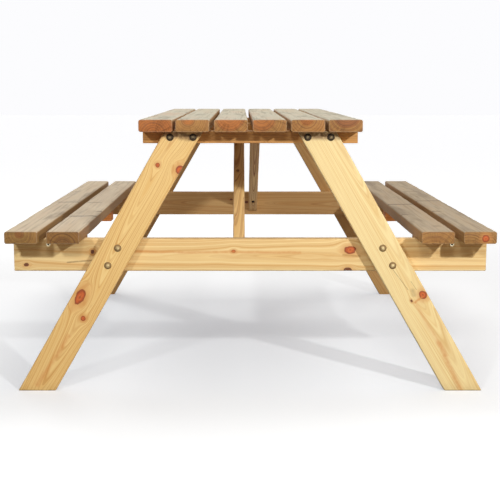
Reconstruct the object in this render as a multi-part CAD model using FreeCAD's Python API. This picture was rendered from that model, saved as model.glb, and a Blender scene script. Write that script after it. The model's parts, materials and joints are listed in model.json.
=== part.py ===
import FreeCAD, Part
import math
import os

# Picnic table with two attached benches, built from sawn softwood and coach bolts.
# X runs across the table from seat to seat, Y along its boards, and Z upwards.
# The origin is on the ground, midway between the four feet. All sizes are in millimetres.

# Overall sizes
TABLE_HEIGHT = 750.0
TABLE_LENGTH = 1500.0
SEAT_HEIGHT = 455.0
SEAT_LENGTH = 1560.0
SEAT_OUTER_EDGE = 656.0

# Timber: one thickness throughout, the wide board, the seat board, and the narrow batten
THICKNESS = 33.0
BOARD_WIDTH = 90.0
SEAT_BOARD_WIDTH = 88.0
BATTEN_WIDTH = 60.0
EASED_EDGE = 4.0

# Tabletop: the gaps between its six boards, from left to right
BOARD_GAPS = [8.0, 12.5, 13.0, 11.5, 10.0]
CLEAT_LENGTH = 584.0

# Benches
SEAT_GAP = 24.0
SEAT_BATTEN_LENGTH = 190.0
SEAT_BATTEN_SETBACK = 5.0
SEAT_BEAM_LENGTH = 1304.0

# Legs: outer face of each end frame, splay from upright, and outer corner of the foot
FRAME_FACE = 715.0
LEG_SPLAY = 30.0
FOOT_OUTER_EDGE = 645.0

# Braces: centre of each one across the table, and the heights of their two end corners
BRACE_CENTRES = {"front": -31.0, "rear": 23.0}
BRACE_TIP_HEIGHT = 345.0
BRACE_UPPER_HEIGHT = 662.0

# Coach bolts, M8, with their washers and nuts
BOLT_RADIUS = 4.0
BOLT_HOLE_RADIUS = 4.5
BOLT_HEAD_RADIUS = 10.0
BOLT_HEAD_HEIGHT = 5.0
BOLT_NECK = 8.0
BOLT_NECK_DEPTH = 5.0
WASHER_RADIUS = 12.0
WASHER_THICKNESS = 1.6
NUT_ACROSS_FLATS = 13.0
NUT_HEIGHT = 6.5
NUT_THREAD_CLEARANCE = 0.05
BEAM_BOLT_LENGTH = 80.0
CLEAT_BOLT_LENGTH = 110.0
BEAM_BOLT_RISE = 24.0
CLEAT_BOLT_DROP = 15.0
CLEAT_BOLT_CENTRE = 185.0
CLEAT_BOLT_HALF_SPACING = 31.0

# Wood screws: length, shank radius, head radius and head height
BOARD_SCREW = {"length": 55.0, "shank": 2.25, "head": 4.5, "head_height": 3.0}
BATTEN_SCREW = {"length": 80.0, "shank": 3.0, "head": 6.5, "head_height": 3.0}
BRACE_FOOT_SCREW = {"length": 90.0, "shank": 3.0, "head": 5.5, "head_height": 3.5}
BRACE_TOP_SCREW = {"length": 100.0, "shank": 3.0, "head": 6.5, "head_height": 3.0}
SCREW_POINT = 7.0
TABLE_SCREW_SPREAD = {"front": 25.0, "middle": 36.0, "rear": 25.0}
SEAT_SCREW_SPREAD = 22.0
BATTEN_SCREW_DROP = 15.0
BRACE_FOOT_SCREW_DROP = 29.0
BRACE_TOP_SCREW_DROP = 17.0
COUNTERBORE_RADIUS = 6.0
COUNTERBORE_DEPTH = 30.0

# Heights and planes that follow from the sizes above
BOARD_UNDERSIDE = TABLE_HEIGHT - THICKNESS
BEAM_TOP = SEAT_HEIGHT - THICKNESS
BEAM_BOTTOM = BEAM_TOP - BOARD_WIDTH
FRAME_MIDDLE = FRAME_FACE - THICKNESS
FRAME_BACK = FRAME_MIDDLE - THICKNESS
CLEAT_BACK = FRAME_MIDDLE - BATTEN_WIDTH
LEG_SLOPE = math.tan(math.radians(LEG_SPLAY))
LEG_LEVEL_WIDTH = BOARD_WIDTH / math.cos(math.radians(LEG_SPLAY))
BRACE_RUN = FRAME_BACK - BATTEN_WIDTH / 2
BRACE_SLOPE = (BRACE_UPPER_HEIGHT - BRACE_TIP_HEIGHT) / BRACE_RUN
BRACE_LEVEL_DEPTH = BATTEN_WIDTH * math.hypot(1.0, BRACE_SLOPE)

X_AXIS = FreeCAD.Vector(1, 0, 0)
Y_AXIS = FreeCAD.Vector(0, 1, 0)
Z_AXIS = FreeCAD.Vector(0, 0, 1)
SIDES = {"left": -1, "right": 1}
ENDS = {"front": -1, "rear": 1}

timbers = {}
fasteners = {}


def ease_edges(solid, direction):
    """Round the edges of a timber that run along one direction."""
    long_edges = []
    for edge in solid.Edges:
        run = edge.Vertexes[1].Point - edge.Vertexes[0].Point
        if abs(run.normalize().dot(direction)) > 0.999:
            long_edges.append(edge)
    return solid.makeFillet(EASED_EDGE, long_edges).Solids[0]


def stick(low, high, grain):
    """A straight timber between two opposite corners, with its long edges eased."""
    size = FreeCAD.Vector(*high) - FreeCAD.Vector(*low)
    block = Part.makeBox(size.x, size.y, size.z, FreeCAD.Vector(*low))
    return ease_edges(block, grain)


def between(a, b):
    """Two values in rising order."""
    return min(a, b), max(a, b)


def stick_in_frame(half_length, end, near_plane, far_plane, z_low, z_high):
    """A timber across the table that lies between two planes of one end frame."""
    y_low, y_high = between(end * near_plane, end * far_plane)
    return stick((-half_length, y_low, z_low), (half_length, y_high, z_high), X_AXIS)


def leg_centre(height):
    """Distance of a leg's centre line from the middle of the table at one height."""
    return FOOT_OUTER_EDGE - LEG_LEVEL_WIDTH / 2 - LEG_SLOPE * height


def leg(side, end):
    """A splayed leg, cut level at the ground and under the tabletop boards."""
    y_low, y_high = between(end * FRAME_FACE, end * FRAME_MIDDLE)
    reach = TABLE_HEIGHT * 1.5
    upright = stick((-BOARD_WIDTH / 2, y_low, -reach), (BOARD_WIDTH / 2, y_high, reach), Z_AXIS)
    upright.rotate(FreeCAD.Vector(0, 0, 0), Y_AXIS, -side * LEG_SPLAY)
    upright.translate(FreeCAD.Vector(side * leg_centre(0), 0, 0))
    width = 2 * reach
    level_cuts = Part.makeBox(width, width, BOARD_UNDERSIDE, FreeCAD.Vector(-reach, -reach, 0))
    return upright.common(level_cuts).Solids[0]


def brace(end):
    """A sloping brace from the seat beam's inner face up to the middle cleat."""
    inner = BATTEN_WIDTH / 2
    lower_top = BRACE_TIP_HEIGHT + BRACE_LEVEL_DEPTH
    meets_boards = FRAME_BACK - (BOARD_UNDERSIDE - lower_top) / BRACE_SLOPE
    outline = [
        (FRAME_BACK, BRACE_TIP_HEIGHT),
        (FRAME_BACK, lower_top),
        (meets_boards, BOARD_UNDERSIDE),
        (inner, BOARD_UNDERSIDE),
        (inner, BRACE_UPPER_HEIGHT),
    ]
    x_start = BRACE_CENTRES["front" if end < 0 else "rear"] - THICKNESS / 2
    corners = [FreeCAD.Vector(x_start, end * y, z) for y, z in outline]
    face = Part.Face(Part.makePolygon(corners + corners[:1]))
    solid = face.extrude(X_AXIS * THICKNESS)
    return ease_edges(solid, FreeCAD.Vector(0, end, -BRACE_SLOPE).normalize())


def turned(outline, start, direction):
    """Revolve an outline of (distance along, radius) points, then point it along a direction."""
    points = [FreeCAD.Vector(radius, 0, along) for along, radius in outline]
    face = Part.Face(Part.makePolygon(points + points[:1]))
    return placed(face.revolve(FreeCAD.Vector(0, 0, 0), Z_AXIS, 360), start, direction)


def placed(solid, start, direction):
    """Move a solid made along +Z so that it starts at a point and runs along a direction."""
    turn = FreeCAD.Rotation(Z_AXIS, FreeCAD.Vector(direction))
    solid.Placement = FreeCAD.Placement(FreeCAD.Vector(*start), turn).multiply(solid.Placement)
    return solid


def countersunk_screw(kind, start, direction):
    """A screw whose head is flush with the timber."""
    outline = [
        (0, 0),
        (0, kind["head"]),
        (kind["head_height"], kind["shank"]),
        (kind["length"] - SCREW_POINT, kind["shank"]),
        (kind["length"], 0),
    ]
    return turned(outline, start, direction)


def flanged_screw(kind, start, direction):
    """A screw whose broad, low head stands on the timber."""
    outline = [
        (-kind["head_height"], 0),
        (-kind["head_height"], kind["head"] * 0.7),
        (-kind["head_height"] * 0.3, kind["head"]),
        (0, kind["head"]),
        (0, kind["shank"]),
        (kind["length"] - SCREW_POINT, kind["shank"]),
        (kind["length"], 0),
    ]
    return turned(outline, start, direction)


def coach_bolt(length, start, direction):
    """A dome-headed bolt with a square neck that bites into the leg."""
    dome_radius = (BOLT_HEAD_RADIUS ** 2 + BOLT_HEAD_HEIGHT ** 2) / (2 * BOLT_HEAD_HEIGHT)
    dome = Part.makeSphere(dome_radius, FreeCAD.Vector(0, 0, dome_radius - BOLT_HEAD_HEIGHT))
    head_block = Part.makeCylinder(BOLT_HEAD_RADIUS * 1.1, BOLT_HEAD_HEIGHT * 1.1)
    head_block.translate(FreeCAD.Vector(0, 0, -BOLT_HEAD_HEIGHT * 1.1))
    corner = FreeCAD.Vector(-BOLT_NECK / 2, -BOLT_NECK / 2, 0)
    neck = Part.makeBox(BOLT_NECK, BOLT_NECK, BOLT_NECK_DEPTH, corner)
    shank = Part.makeCylinder(BOLT_RADIUS, length)
    return placed(dome.common(head_block).fuse([neck, shank]).removeSplitter(), start, direction)


def washer(start, direction):
    """A flat washer that lies on the inner face of the timber."""
    ring = Part.makeCylinder(WASHER_RADIUS, WASHER_THICKNESS)
    return placed(ring.cut(Part.makeCylinder(BOLT_HOLE_RADIUS, WASHER_THICKNESS)), start, direction)


def nut(start, direction):
    """A hexagon nut with chamfered corners."""
    corner_radius = NUT_ACROSS_FLATS / math.sqrt(3)
    corners = []
    for index in range(6):
        angle = math.radians(60 * index)
        corners.append(FreeCAD.Vector(corner_radius * math.cos(angle), corner_radius * math.sin(angle), 0))
    hexagon = Part.Face(Part.makePolygon(corners + corners[:1])).extrude(Z_AXIS * NUT_HEIGHT)
    round_off = Part.makeCone(corner_radius + NUT_HEIGHT, corner_radius - 0.6, NUT_HEIGHT)
    bore = Part.makeCylinder(BOLT_RADIUS + NUT_THREAD_CLEARANCE, NUT_HEIGHT)
    return placed(hexagon.common(round_off).cut(bore), start, direction)


def bore(start, direction, length):
    """The clearance hole of one bolt."""
    return placed(Part.makeCylinder(BOLT_HOLE_RADIUS, length), start, direction)


def tabletop_board_spans():
    """Low and high edge of each tabletop board across the table."""
    left = -(BOARD_WIDTH * (len(BOARD_GAPS) + 1) + sum(BOARD_GAPS)) / 2
    spans = []
    for gap in BOARD_GAPS + [0.0]:
        spans.append((left, left + BOARD_WIDTH))
        left += BOARD_WIDTH + gap
    return spans


def seat_board_spans(side):
    """Low and high edge of the outer and the inner board of one bench."""
    outer_low = SEAT_OUTER_EDGE - SEAT_BOARD_WIDTH
    inner_high = outer_low - SEAT_GAP
    outer = between(side * outer_low, side * SEAT_OUTER_EDGE)
    inner = between(side * (inner_high - SEAT_BOARD_WIDTH), side * inner_high)
    return {"outer": outer, "inner": inner}


def add_tabletop():
    """Six boards on three cleats."""
    half = TABLE_LENGTH / 2
    for number, (x_low, x_high) in enumerate(tabletop_board_spans(), start=1):
        low = (x_low, -half, BOARD_UNDERSIDE)
        high = (x_high, half, TABLE_HEIGHT)
        timbers[f"tabletop_board_{number}"] = stick(low, high, Y_AXIS)
    cleat_bottom = BOARD_UNDERSIDE - THICKNESS
    for name, end in ENDS.items():
        cleat = stick_in_frame(
            CLEAT_LENGTH / 2, end, FRAME_MIDDLE, CLEAT_BACK, cleat_bottom, BOARD_UNDERSIDE)
        timbers[f"tabletop_cleat_{name}"] = cleat
    timbers["tabletop_cleat_middle"] = stick_in_frame(
        CLEAT_LENGTH / 2, 1, -BATTEN_WIDTH / 2, BATTEN_WIDTH / 2, cleat_bottom, BOARD_UNDERSIDE)


def add_end_frames():
    """Four splayed legs, two seat beams and two braces."""
    for end_name, end in ENDS.items():
        for side_name, side in SIDES.items():
            timbers[f"leg_{end_name}_{side_name}"] = leg(side, end)
        beam = stick_in_frame(
            SEAT_BEAM_LENGTH / 2, end, FRAME_MIDDLE, FRAME_BACK, BEAM_BOTTOM, BEAM_TOP)
        timbers[f"seat_beam_{end_name}"] = beam
        timbers[f"brace_{end_name}"] = brace(end)


def seat_batten_middles():
    """Position along the table of the battens under each bench."""
    end_middle = FRAME_BACK - BATTEN_WIDTH / 2
    return {"front": -end_middle, "middle": 0.0, "rear": end_middle}


def add_benches():
    """Two boards for each bench, joined by three battens underneath."""
    half = SEAT_LENGTH / 2
    for side_name, side in SIDES.items():
        spans = seat_board_spans(side)
        for row, (x_low, x_high) in spans.items():
            low = (x_low, -half, BEAM_TOP)
            high = (x_high, half, SEAT_HEIGHT)
            timbers[f"seat_board_{side_name}_{row}"] = stick(low, high, Y_AXIS)
        inner_edge = min(abs(x) for x in spans["inner"]) + SEAT_BATTEN_SETBACK
        x_low, x_high = between(side * inner_edge, side * (inner_edge + SEAT_BATTEN_LENGTH))
        for place, middle in seat_batten_middles().items():
            low = (x_low, middle - BATTEN_WIDTH / 2, BEAM_TOP - THICKNESS)
            high = (x_high, middle + BATTEN_WIDTH / 2, BEAM_TOP)
            timbers[f"seat_batten_{side_name}_{place}"] = stick(low, high, X_AXIS)


def bolt_set(name, places, length, inner_plane):
    """Bolts through two timbers, with a washer and a nut on the inner face."""
    bolts = []
    washers = []
    nuts = []
    bores = []
    for x, end, z in places:
        inward = (0, -end, 0)
        start = (x, end * FRAME_FACE, z)
        bolts.append(coach_bolt(length, start, inward))
        bores.append(bore(start, inward, FRAME_FACE - inner_plane))
        washers.append(washer((x, end * inner_plane, z), inward))
        nuts.append(nut((x, end * (inner_plane - WASHER_THICKNESS), z), inward))
    fasteners[f"{name}_bolts"] = Part.makeCompound(bolts)
    fasteners[f"{name}_washers"] = Part.makeCompound(washers)
    fasteners[f"{name}_nuts"] = Part.makeCompound(nuts)
    return bolts + bores


def add_bolts():
    """Two bolts from each leg to the seat beam and two to the tabletop cleat."""
    beam_places = []
    cleat_places = []
    beam_middle = (BEAM_TOP + BEAM_BOTTOM) / 2
    for end in ENDS.values():
        for side in SIDES.values():
            for step in (-1, 1):
                z = beam_middle + step * BEAM_BOLT_RISE
                beam_places.append((side * leg_centre(z), end, z))
                x = side * (CLEAT_BOLT_CENTRE + step * CLEAT_BOLT_HALF_SPACING)
                cleat_places.append((x, end, BOARD_UNDERSIDE - CLEAT_BOLT_DROP))
    cutters = bolt_set("leg_to_beam", beam_places, BEAM_BOLT_LENGTH, FRAME_BACK)
    cutters += bolt_set("leg_to_cleat", cleat_places, CLEAT_BOLT_LENGTH, CLEAT_BACK)
    drill(["leg_", "seat_beam_", "tabletop_cleat_"], cutters)


def add_board_screws():
    """Screws driven up from below, through the cleats and battens into the boards."""
    table_screws = []
    cleat_middles = {"front": -(FRAME_MIDDLE + CLEAT_BACK) / 2, "middle": 0.0,
                     "rear": (FRAME_MIDDLE + CLEAT_BACK) / 2}
    for x_low, x_high in tabletop_board_spans():
        for place, y in cleat_middles.items():
            for step in (-1, 1):
                x = (x_low + x_high) / 2 + step * TABLE_SCREW_SPREAD[place]
                start = (x, y, BOARD_UNDERSIDE - THICKNESS)
                table_screws.append(countersunk_screw(BOARD_SCREW, start, (0, 0, 1)))
    fasteners["tabletop_screws"] = Part.makeCompound(table_screws)
    seat_screws = []
    for side in SIDES.values():
        for x_low, x_high in seat_board_spans(side).values():
            for y in seat_batten_middles().values():
                for step in (-1, 1):
                    x = (x_low + x_high) / 2 + step * SEAT_SCREW_SPREAD
                    start = (x, y, BEAM_TOP - THICKNESS)
                    seat_screws.append(countersunk_screw(BOARD_SCREW, start, (0, 0, 1)))
    fasteners["seat_screws"] = Part.makeCompound(seat_screws)
    drill(["tabletop_cleat_", "tabletop_board_"], table_screws)
    drill(["seat_batten_", "seat_board_"], seat_screws)


def add_frame_screws():
    """Screws that hold the end battens to the beams, and both ends of each brace."""
    batten_screws = []
    foot_screws = []
    top_screws = []
    counterbores = []
    seat_gap_middle = SEAT_OUTER_EDGE - SEAT_BOARD_WIDTH - SEAT_GAP / 2
    foot_z = BEAM_TOP - BRACE_FOOT_SCREW_DROP
    top_z = BOARD_UNDERSIDE - BRACE_TOP_SCREW_DROP
    foot_entry = FRAME_BACK - (foot_z - BRACE_TIP_HEIGHT) / BRACE_SLOPE
    for end_name, end in ENDS.items():
        for side in SIDES.values():
            start = (side * seat_gap_middle, end * FRAME_MIDDLE, BEAM_TOP - BATTEN_SCREW_DROP)
            batten_screws.append(flanged_screw(BATTEN_SCREW, start, (0, -end, 0)))
        x = BRACE_CENTRES[end_name]
        seat = foot_entry + COUNTERBORE_DEPTH
        foot_screws.append(flanged_screw(BRACE_FOOT_SCREW, (x, end * seat, foot_z), (0, end, 0)))
        mouth = Part.makeCylinder(COUNTERBORE_RADIUS, 2 * COUNTERBORE_DEPTH)
        counterbores.append(placed(mouth, (x, end * seat, foot_z), (0, -end, 0)))
        start = (x, -end * BATTEN_WIDTH / 2, top_z)
        top_screws.append(flanged_screw(BRACE_TOP_SCREW, start, (0, end, 0)))
    fasteners["batten_to_beam_screws"] = Part.makeCompound(batten_screws)
    fasteners["brace_to_beam_screws"] = Part.makeCompound(foot_screws)
    fasteners["brace_to_cleat_screws"] = Part.makeCompound(top_screws)
    drill(["seat_beam_", "seat_batten_"], batten_screws)
    drill(["brace_front", "brace_rear"], counterbores)
    drill(["brace_front", "brace_rear", "seat_beam_"], foot_screws)
    drill(["brace_front", "brace_rear", "tabletop_cleat_middle"], top_screws)


def drill(prefixes, cutters):
    """Cut holes for fasteners in the timbers whose names start with one of the prefixes."""
    for name, shape in timbers.items():
        if not name.startswith(tuple(prefixes)):
            continue
        meeting = [cutter for cutter in cutters if cutter.BoundBox.intersect(shape.BoundBox)]
        if meeting:
            timbers[name] = shape.cut(meeting).Solids[0]


def main():
    """Build every piece and write it to its own file."""
    add_tabletop()
    add_end_frames()
    add_benches()
    add_bolts()
    add_board_screws()
    add_frame_screws()
    os.makedirs("parts", exist_ok=True)
    parts = {**timbers, **fasteners}
    for name, shape in parts.items():
        shape.exportStep(f"parts/{name}.step")
        solids = shape.Solids
        volume = sum(solid.Volume for solid in solids)
        print(f"{name}: {len(solids)} solid(s), {volume / 1000:.1f} cm3, valid {shape.isValid()}")
    print(f"{len(parts)} parts")


main()
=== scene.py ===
import json
import logging
import math
from dataclasses import dataclass, field, replace
from enum import Enum

import bmesh
import bpy
from mathutils import Matrix, Vector, noise

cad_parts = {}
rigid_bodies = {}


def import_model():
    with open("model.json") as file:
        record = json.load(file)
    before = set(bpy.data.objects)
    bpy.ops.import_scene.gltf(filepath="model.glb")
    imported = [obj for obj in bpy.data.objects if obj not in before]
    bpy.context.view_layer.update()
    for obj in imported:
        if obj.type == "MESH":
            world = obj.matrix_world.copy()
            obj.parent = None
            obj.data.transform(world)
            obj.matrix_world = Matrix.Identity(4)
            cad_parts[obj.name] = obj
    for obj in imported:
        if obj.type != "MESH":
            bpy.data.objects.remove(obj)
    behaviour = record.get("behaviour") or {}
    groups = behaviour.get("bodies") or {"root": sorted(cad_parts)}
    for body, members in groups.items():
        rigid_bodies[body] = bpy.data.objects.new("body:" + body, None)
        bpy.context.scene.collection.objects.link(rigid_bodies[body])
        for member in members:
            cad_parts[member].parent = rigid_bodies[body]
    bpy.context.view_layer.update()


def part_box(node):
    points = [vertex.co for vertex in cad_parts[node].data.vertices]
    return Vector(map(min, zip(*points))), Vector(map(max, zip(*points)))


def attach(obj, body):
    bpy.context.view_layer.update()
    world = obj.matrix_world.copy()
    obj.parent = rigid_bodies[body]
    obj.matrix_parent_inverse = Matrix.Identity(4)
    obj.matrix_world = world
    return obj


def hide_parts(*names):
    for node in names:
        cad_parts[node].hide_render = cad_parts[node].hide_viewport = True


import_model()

log = logging.getLogger("picnic_table")

# The table's own directions: X runs across it, Y along its boards and Z upwards. All sizes are metres.
ACROSS = Vector((1.0, 0.0, 0.0))
ALONG = Vector((0.0, 1.0, 0.0))
UP = Vector((0.0, 0.0, 1.0))

LEG_SPLAY = math.radians(30.0)
BRACE_DEPTH = 0.060
BRACE_SHOULDER = 0.662
BRACE_SCREW_HEIGHT = 0.393
COUNTERBORE_RADIUS = 0.006
COUNTERBORE_DEPTH = 0.030
BOLT_RADIUS = 0.004
DOME_RADIUS = 0.010
DOME_HEIGHT = 0.005
WASHER_BORE = 0.0045
SCREW_FLANGE = 0.0065
ROUND_STEPS = 32

# Strips along a timber's long edges and round its ends, lightened partly as rubbed wear and partly as painted
# highlight.
EDGE_WEAR_AND_HIGHLIGHT = 0.004
END_WEAR_AND_HIGHLIGHT = 0.002

# How far below a fastener's face its rim ends, and how far into its recess the painted shade reaches.
HEAD_RIM = 0.0012
RECESS_LIP = 0.0004

# A timber that is cut at an angle starts this much too long, and a shape turns sharp past this angle.
SAW_ALLOWANCE = 0.2
SHARP_ANGLE = math.radians(38.0)

# Where the pith's place is given along a board: its front end.
TOP_END = -0.75
BENCH_END = -0.78

PLACES = ("front", "middle", "rear")

Colour = tuple[float, float, float]
Point = tuple[float, float]
Place = tuple[float, int, float]
Number = "Field | float"

UNTINTED: Colour = (1.0, 1.0, 1.0)


def stain(red: int, green: int, blue: int) -> Colour:
    """Turn a colour as seen on a screen into the linear values that shading uses.

    Args:
        red: Red, from 0 to 255.
        green: Green, from 0 to 255.
        blue: Blue, from 0 to 255.

    Returns:
        The three linear values.
    """
    seen = [channel / 255 for channel in (red, green, blue)]
    return tuple(c / 12.92 if c <= 0.04045 else ((c + 0.055) / 1.055) ** 2.4 for c in seen)


# Dark scars and smudges, and the painted contact shadow along the front legs' feet.
SCAR_AND_SHADE = stain(84, 66, 50)
RESIN = stain(206, 140, 74)
SPLIT = stain(62, 44, 30)
# Paints the tabletop's shadow across the front legs' tops, and a dark streak on the front beam.
STREAK_AND_SHADE = stain(112, 78, 42)
CRACK = stain(70, 46, 28)
HALO = stain(204, 142, 78)
FLECK = stain(112, 52, 24)
END_SHADE = stain(168, 138, 116)
END_SCORE = stain(104, 66, 34)
END_BLOTCH = stain(122, 82, 46)
RUST = stain(132, 98, 62)
BRIGHT_AIR = stain(252, 252, 254)


class Side(Enum):
    """The two benches and the legs below them."""

    LEFT = -1
    RIGHT = 1


class End(Enum):
    """The two end frames."""

    FRONT = -1
    REAR = 1


class KnotKind(Enum):
    """How a branch stub looks where the saw went through it."""

    LIVE = "live"
    DEAD = "dead"


# A knot's colours from its middle outwards, and how strongly it stains the wood round it.
KNOT_STOPS = {
    KnotKind.LIVE: (
        (0.0, stain(150, 72, 32)), (0.3, stain(206, 108, 50)), (0.6, stain(186, 88, 38)),
        (0.86, stain(130, 58, 26)), (1.0, stain(188, 122, 68))),
    KnotKind.DEAD: (
        (0.0, stain(84, 48, 22)), (0.5, stain(118, 68, 34)), (0.82, stain(92, 50, 24)),
        (1.0, stain(60, 36, 18))),
}
HALO_STRENGTH = {KnotKind.LIVE: 0.5, KnotKind.DEAD: 0.4}


def corners(node: str) -> tuple[Vector, Vector]:
    """Find the lowest and the highest corner of a CAD node."""
    low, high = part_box(node)
    return Vector(low), Vector(high)


# ---------------------------------------------------------------------------
# Shader sums
# ---------------------------------------------------------------------------


class Field:
    """A value that varies over a surface, which can be used in ordinary sums."""

    def __init__(self, recipe: "Recipe", socket: bpy.types.NodeSocket) -> None:
        """Wrap one output socket of a recipe's node."""
        self.recipe = recipe
        self.socket = socket

    def sum(self, operation: str, *values: Number) -> "Field":
        """Add one Math node.

        Args:
            operation: The Math node's operation.
            *values: Its inputs, in order.

        Returns:
            The node's result.
        """
        return self.recipe.node("ShaderNodeMath", {"operation": operation}, dict(enumerate(values)))

    def __add__(self, other: Number) -> "Field":
        """Add."""
        return self.sum("ADD", self, other)

    def __radd__(self, other: Number) -> "Field":
        """Add, with the field on the right."""
        return self.sum("ADD", other, self)

    def __sub__(self, other: Number) -> "Field":
        """Subtract."""
        return self.sum("SUBTRACT", self, other)

    def __rsub__(self, other: Number) -> "Field":
        """Subtract the field from a value."""
        return self.sum("SUBTRACT", other, self)

    def __mul__(self, other: Number) -> "Field":
        """Multiply."""
        return self.sum("MULTIPLY", self, other)

    def __rmul__(self, other: Number) -> "Field":
        """Multiply, with the field on the right."""
        return self.sum("MULTIPLY", other, self)

    def __truediv__(self, other: Number) -> "Field":
        """Divide."""
        return self.sum("DIVIDE", self, other)

    def __rtruediv__(self, other: Number) -> "Field":
        """Divide a value by the field."""
        return self.sum("DIVIDE", other, self)

    def __abs__(self) -> "Field":
        """Drop the sign."""
        return self.sum("ABSOLUTE", self)

    def root(self) -> "Field":
        """Take the square root."""
        return self.sum("SQRT", self)

    def fraction(self) -> "Field":
        """Keep what is left above the whole number."""
        return self.sum("FRACT", self)

    def at_most(self, limit: Number) -> "Field":
        """Hold the value down to a limit."""
        return self.sum("MINIMUM", self, limit)

    def at_least(self, limit: Number) -> "Field":
        """Hold the value up to a limit."""
        return self.sum("MAXIMUM", self, limit)

    def rise(self, low: float, high: float) -> "Field":
        """Fade smoothly from 0 to 1 between two values.

        Args:
            low: Where the fade starts.
            high: Where it ends.

        Returns:
            The faded value.
        """
        settings = {"interpolation_type": "SMOOTHSTEP"}
        ends = {"Value": self, "From Min": low, "From Max": high}
        return self.recipe.node("ShaderNodeMapRange", settings, ends)

    def fall(self, low: float, high: float) -> "Field":
        """Fade smoothly from 1 to 0 between two values, as rise does from 0 to 1."""
        return 1 - self.rise(low, high)


class Recipe:
    """The nodes of one material, or of the room's air."""

    def __init__(self, owner: "bpy.types.Material | bpy.types.World") -> None:
        """Open the nodes of a new material or world.

        Args:
            owner: The material or world.
        """
        owner.use_nodes = True
        self.owner = owner
        self.tree = owner.node_tree
        shaders = {"BSDF_PRINCIPLED", "BACKGROUND"}
        self.shader = next(node for node in self.tree.nodes if node.type in shaders)

    def set_socket(self, socket: bpy.types.NodeSocket, value: "Field | float | tuple") -> None:
        """Link a field to a socket, or set a plain value on it.

        Args:
            socket: The input socket.
            value: The field, number or colour.
        """
        if isinstance(value, Field):
            self.tree.links.new(value.socket, socket)
        elif socket.type == "RGBA" and len(value) == 3:
            socket.default_value = (*value, 1.0)
        else:
            socket.default_value = value

    def node(
        self, kind: str, settings: dict | None = None, sockets: dict | None = None, output: int | str = 0
    ) -> Field:
        """Add one node.

        Args:
            kind: The node's type.
            settings: Its options, set before its sockets. "stops" are a ramp's positions and colours.
            sockets: Values or fields for its inputs, by name or number.
            output: Which output to return.

        Returns:
            The chosen output.
        """
        made = self.tree.nodes.new(kind)
        for name, value in (settings or {}).items():
            if name == "stops":
                ramp = made.color_ramp.elements
                while len(ramp) < len(value):
                    ramp.new(1.0)
                for stop, (position, colour) in zip(ramp, value):
                    stop.position = position
                    stop.color = (*colour, 1.0)
            else:
                setattr(made, name, value)
        for key, value in (sockets or {}).items():
            self.set_socket(made.inputs[key], value)
        return Field(self, made.outputs[output])

    def blend(
        self, amount: Number, under: "Field | Colour", over: "Field | Colour", mode: str = "MIX"
    ) -> Field:
        """Lay one colour over another.

        Args:
            amount: How much of the upper colour shows.
            under: The lower colour.
            over: The upper colour.
            mode: How the two combine.

        Returns:
            The combined colour.
        """
        settings = {"data_type": "RGBA", "blend_type": mode, "clamp_factor": True}
        return self.node("ShaderNodeMix", settings, {0: amount, 6: under, 7: over}, output=2)

    def facing(self, direction: Vector) -> Field:
        """Find how squarely the surface looks along a direction.

        Args:
            direction: The direction.

        Returns:
            A value from -1 to 1.
        """
        normal = self.node("ShaderNodeTexCoord", output="Normal")
        return self.node(
            "ShaderNodeVectorMath", {"operation": "DOT_PRODUCT"}, {0: normal, 1: tuple(direction)}, "Value")

    def along_timber(self, lie: "Lie") -> Field:
        """Measure along a timber's grain, across its face and through its depth.

        Args:
            lie: Where the timber is.

        Returns:
            The three coordinates.
        """
        place = self.node("ShaderNodeTexCoord", output="Object")
        sockets = {"Vector": place, "Location": tuple(lie.middle), "Rotation": tuple(lie.turn().to_euler())}
        return self.node("ShaderNodeMapping", {"vector_type": "TEXTURE"}, sockets)

    def cloud(
        self, place: Field, stretch: tuple[float, float, float], seed: float, detail: float = 2.0,
        rough: float = 0.5
    ) -> Field:
        """Soft random variation.

        Args:
            place: The coordinates that it follows.
            stretch: How many changes it makes to a metre in each direction.
            seed: A number that moves it, so that no two are alike.
            detail: How many finer layers it has.
            rough: How strong those layers are.

        Returns:
            A value around 0.5.
        """
        sockets = {"Vector": place, "Scale": stretch, "Location": (seed, seed * 1.7, -seed * 0.6)}
        moved = self.node("ShaderNodeMapping", {"vector_type": "POINT"}, sockets)
        layers = {"Vector": moved, "Scale": 1.0, "Detail": detail, "Roughness": rough}
        return self.node("ShaderNodeTexNoise", {}, layers)

    def split(self, place: Field) -> tuple[Field, Field, Field]:
        """Take coordinates apart into their three values."""
        made = self.node("ShaderNodeSeparateXYZ", sockets={0: place}).socket.node
        return tuple(Field(self, made.outputs[axis]) for axis in range(3))

    def finish(self, colour: "Field | Colour", rough: Number, height: Field | None, relief: float) -> None:
        """Feed the shader.

        Args:
            colour: The base colour.
            rough: The roughness.
            height: The relief of the surface, from 0 to 1.
            relief: How deep that relief is, in metres.
        """
        self.set_socket(self.shader.inputs["Base Color"], colour)
        self.set_socket(self.shader.inputs["Roughness"], rough)
        if height is not None:
            bump = self.node("ShaderNodeBump", {}, {"Strength": 1.0, "Distance": relief, "Height": height})
            self.set_socket(self.shader.inputs["Normal"], bump)


# ---------------------------------------------------------------------------
# Timber: how it lies, how it grew and how it is finished
# ---------------------------------------------------------------------------


@dataclass(frozen=True)
class Lie:
    """Where a timber is: its middle, the way its grain runs and the way its face looks."""

    middle: Vector
    grain: Vector
    face: Vector

    def turn(self) -> Matrix:
        """Turn from the timber's own directions (along, across, out of the face) to the table's.

        Returns:
            The rotation.
        """
        along = self.grain.normalized()
        across = self.face.cross(along).normalized()
        return Matrix((along, across, along.cross(across))).transposed()

    def matrix(self) -> Matrix:
        """Full placement of the timber."""
        return Matrix.Translation(self.middle) @ self.turn().to_4x4()


@dataclass(frozen=True)
class Knot:
    """A branch stub that runs through a timber's depth."""

    along: float
    across: float
    radius: float
    kind: KnotKind = KnotKind.LIVE
    reach: float = 1.45
    depth: float | None = None


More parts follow.
